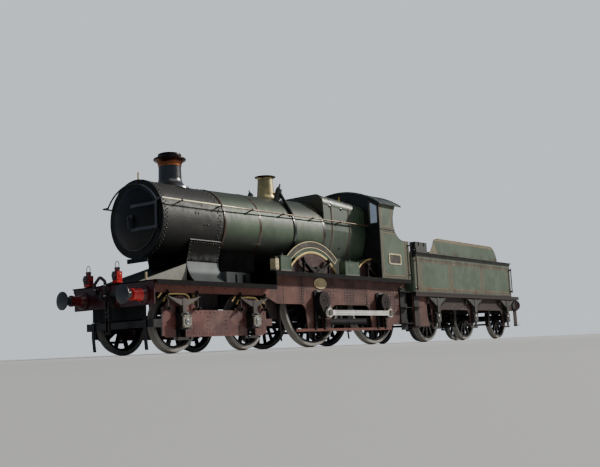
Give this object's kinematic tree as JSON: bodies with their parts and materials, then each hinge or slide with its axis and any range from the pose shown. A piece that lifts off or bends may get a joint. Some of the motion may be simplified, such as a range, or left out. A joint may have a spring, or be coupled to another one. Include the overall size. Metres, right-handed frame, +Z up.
{
  "type": "steam locomotive with tender",
  "caption": "Express passenger steam locomotive with outside frames and cranks, a leading bogie, a taper boiler with flat-topped firebox, an open cab and a water-and-coal tender.",
  "frame": {"origin": "on the plane of the wheel flange tips, midway between the front and the rear buffer faces, on the centre line", "axes": "+X forward along the engine, +Y to the engine's left, +Z up"},
  "size_m": [16.83, 2.584, 4.0886],
  "materials": {
    "black": "satin",
    "brass": "polished",
    "brown_red": "satin",
    "copper": "polished",
    "glass": "clear",
    "green": "gloss",
    "hose": "matt",
    "iron": "rough",
    "red": "gloss",
    "smoke_grey": "matt",
    "steel": "bright",
    "wood": "worn"
  },
  "bodies": {
    "engine": {"boiler": "green", "boiler_seat": "smoke_grey", "cab_floor": "wood", "cab_front": "green", "cab_roof": "black", "cab_sides": "green", "cab_windows": "glass", "chimney": "black", "chimney_cap": "copper", "cylinder_block": "iron", "driving_axleboxes": "iron", "driving_springs": "iron", "engine_brakes": "iron", "firebox": "green", "firebox_backhead": "brass", "front_brake_hose": "hose", "front_buffer_beam": "red", "front_buffers": "red", "front_draw_gear": "iron", "handrails": "steel", "head_lamps": "red", "inside_frames": "black", "lamp_irons": "steel", "name_plates": "brass", "outside_frames": "brown_red", "platform_boxes": "green", "running_plates": "black", "safety_valve_bonnet": "brass", "smokebox": "smoke_grey", "smokebox_inside": "iron", "smokebox_saddle": "smoke_grey", "splashers": "brown_red"},
    "smokebox_door": {"smokebox_door": "smoke_grey", "door_hinge_straps": "black"},
    "firehole_door": {"firehole_door": "black"},
    "bogie": {"bogie_frame": "brown_red", "bogie_axleboxes": "iron", "bogie_springs": "iron"},
    "bogie_leading_axle": {"bogie_leading_wheelset": "black"},
    "bogie_trailing_axle": {"bogie_trailing_wheelset": "black"},
    "leading_driving_axle": {"leading_driving_wheelset": "black"},
    "trailing_driving_axle": {"trailing_driving_wheelset": "black"},
    "left_rod": {"left_coupling_rod": "steel"},
    "right_rod": {"right_coupling_rod": "steel"},
    "tender": {"tender_frames": "brown_red", "tender_platform": "black", "tender_tank": "green", "coal_plates": "green", "tender_columns": "steel", "tender_axleboxes": "iron", "tender_springs": "iron", "tender_handrails": "steel", "tender_brakes": "iron", "tender_buffers": "black", "tender_draw_gear": "iron", "tender_brake_hose": "hose"},
    "filler_lid": {"filler_lid": "black"},
    "tender_leading_axle": {"tender_leading_wheelset": "black"},
    "tender_middle_axle": {"tender_middle_wheelset": "black"},
    "tender_trailing_axle": {"tender_trailing_wheelset": "black"}
  },
  "joints": [
    {"name": "smokebox_door_hinge", "type": "hinge", "parent": "engine", "child": "smokebox_door", "pos_m": [7.37, 0.65, 2.6386], "axis": [0, 0, 1], "range_deg": [0, 135]},
    {"name": "firehole_door_slide", "type": "slide", "parent": "engine", "child": "firehole_door", "axis": [0, 1, 0], "range_m": [0, 0.24]},
    {"name": "bogie_pivot", "type": "hinge", "parent": "engine", "child": "bogie", "pos_m": [6.1015, 0, 0.6286], "axis": [0, 0, 1], "range_deg": [-4, 4]},
    {"name": "bogie_leading_wheels_turn", "type": "hinge", "parent": "bogie", "child": "bogie_leading_axle", "pos_m": [7.092, 0, 0.5876], "axis": [0, 1, 0], "continuous": true},
    {"name": "bogie_trailing_wheels_turn", "type": "hinge", "parent": "bogie", "child": "bogie_trailing_axle", "pos_m": [5.111, 0, 0.5876], "axis": [0, 1, 0], "continuous": true},
    {"name": "leading_driving_wheels_turn", "type": "hinge", "parent": "engine", "child": "leading_driving_axle", "pos_m": [2.825, 0, 1.0506], "axis": [0, 1, 0], "continuous": true},
    {"name": "trailing_driving_wheels_turn", "type": "hinge", "parent": "engine", "child": "trailing_driving_axle", "pos_m": [0.234, 0, 1.0506], "axis": [0, 1, 0], "continuous": true},
    {"name": "left_rod_pin", "type": "hinge", "parent": "leading_driving_axle", "child": "left_rod", "pos_m": [2.725, 1.234, 0.7626], "axis": [0, 1, 0], "continuous": true},
    {"name": "right_rod_pin", "type": "hinge", "parent": "leading_driving_axle", "child": "right_rod", "pos_m": [2.537, -1.234, 1.1506], "axis": [0, 1, 0], "continuous": true},
    {"name": "tender_pivot", "type": "hinge", "parent": "engine", "child": "tender", "pos_m": [-0.975, 0, 1.0686], "axis": [0, 0, 1], "range_deg": [-4, 4]},
    {"name": "filler_lid_hinge", "type": "hinge", "parent": "tender", "child": "filler_lid", "pos_m": [-6.955, 0, 2.4966], "axis": [0, -1, 0], "range_deg": [0, 105]},
    {"name": "tender_leading_wheels_turn", "type": "hinge", "parent": "tender", "child": "tender_leading_axle", "pos_m": [-2.466, 0, 0.6576], "axis": [0, 1, 0], "continuous": true},
    {"name": "tender_middle_wheels_turn", "type": "hinge", "parent": "tender", "child": "tender_middle_axle", "pos_m": [-4.752, 0, 0.6576], "axis": [0, 1, 0], "continuous": true},
    {"name": "tender_trailing_wheels_turn", "type": "hinge", "parent": "tender", "child": "tender_trailing_axle", "pos_m": [-7.038, 0, 0.6576], "axis": [0, 1, 0], "continuous": true}
  ],
  "couplings": [
    {"joint": "trailing_driving_wheels_turn", "follows": "leading_driving_wheels_turn", "ratio": 1},
    {"joint": "left_rod_pin", "follows": "leading_driving_wheels_turn", "ratio": -1},
    {"joint": "right_rod_pin", "follows": "leading_driving_wheels_turn", "ratio": -1}
  ]
}
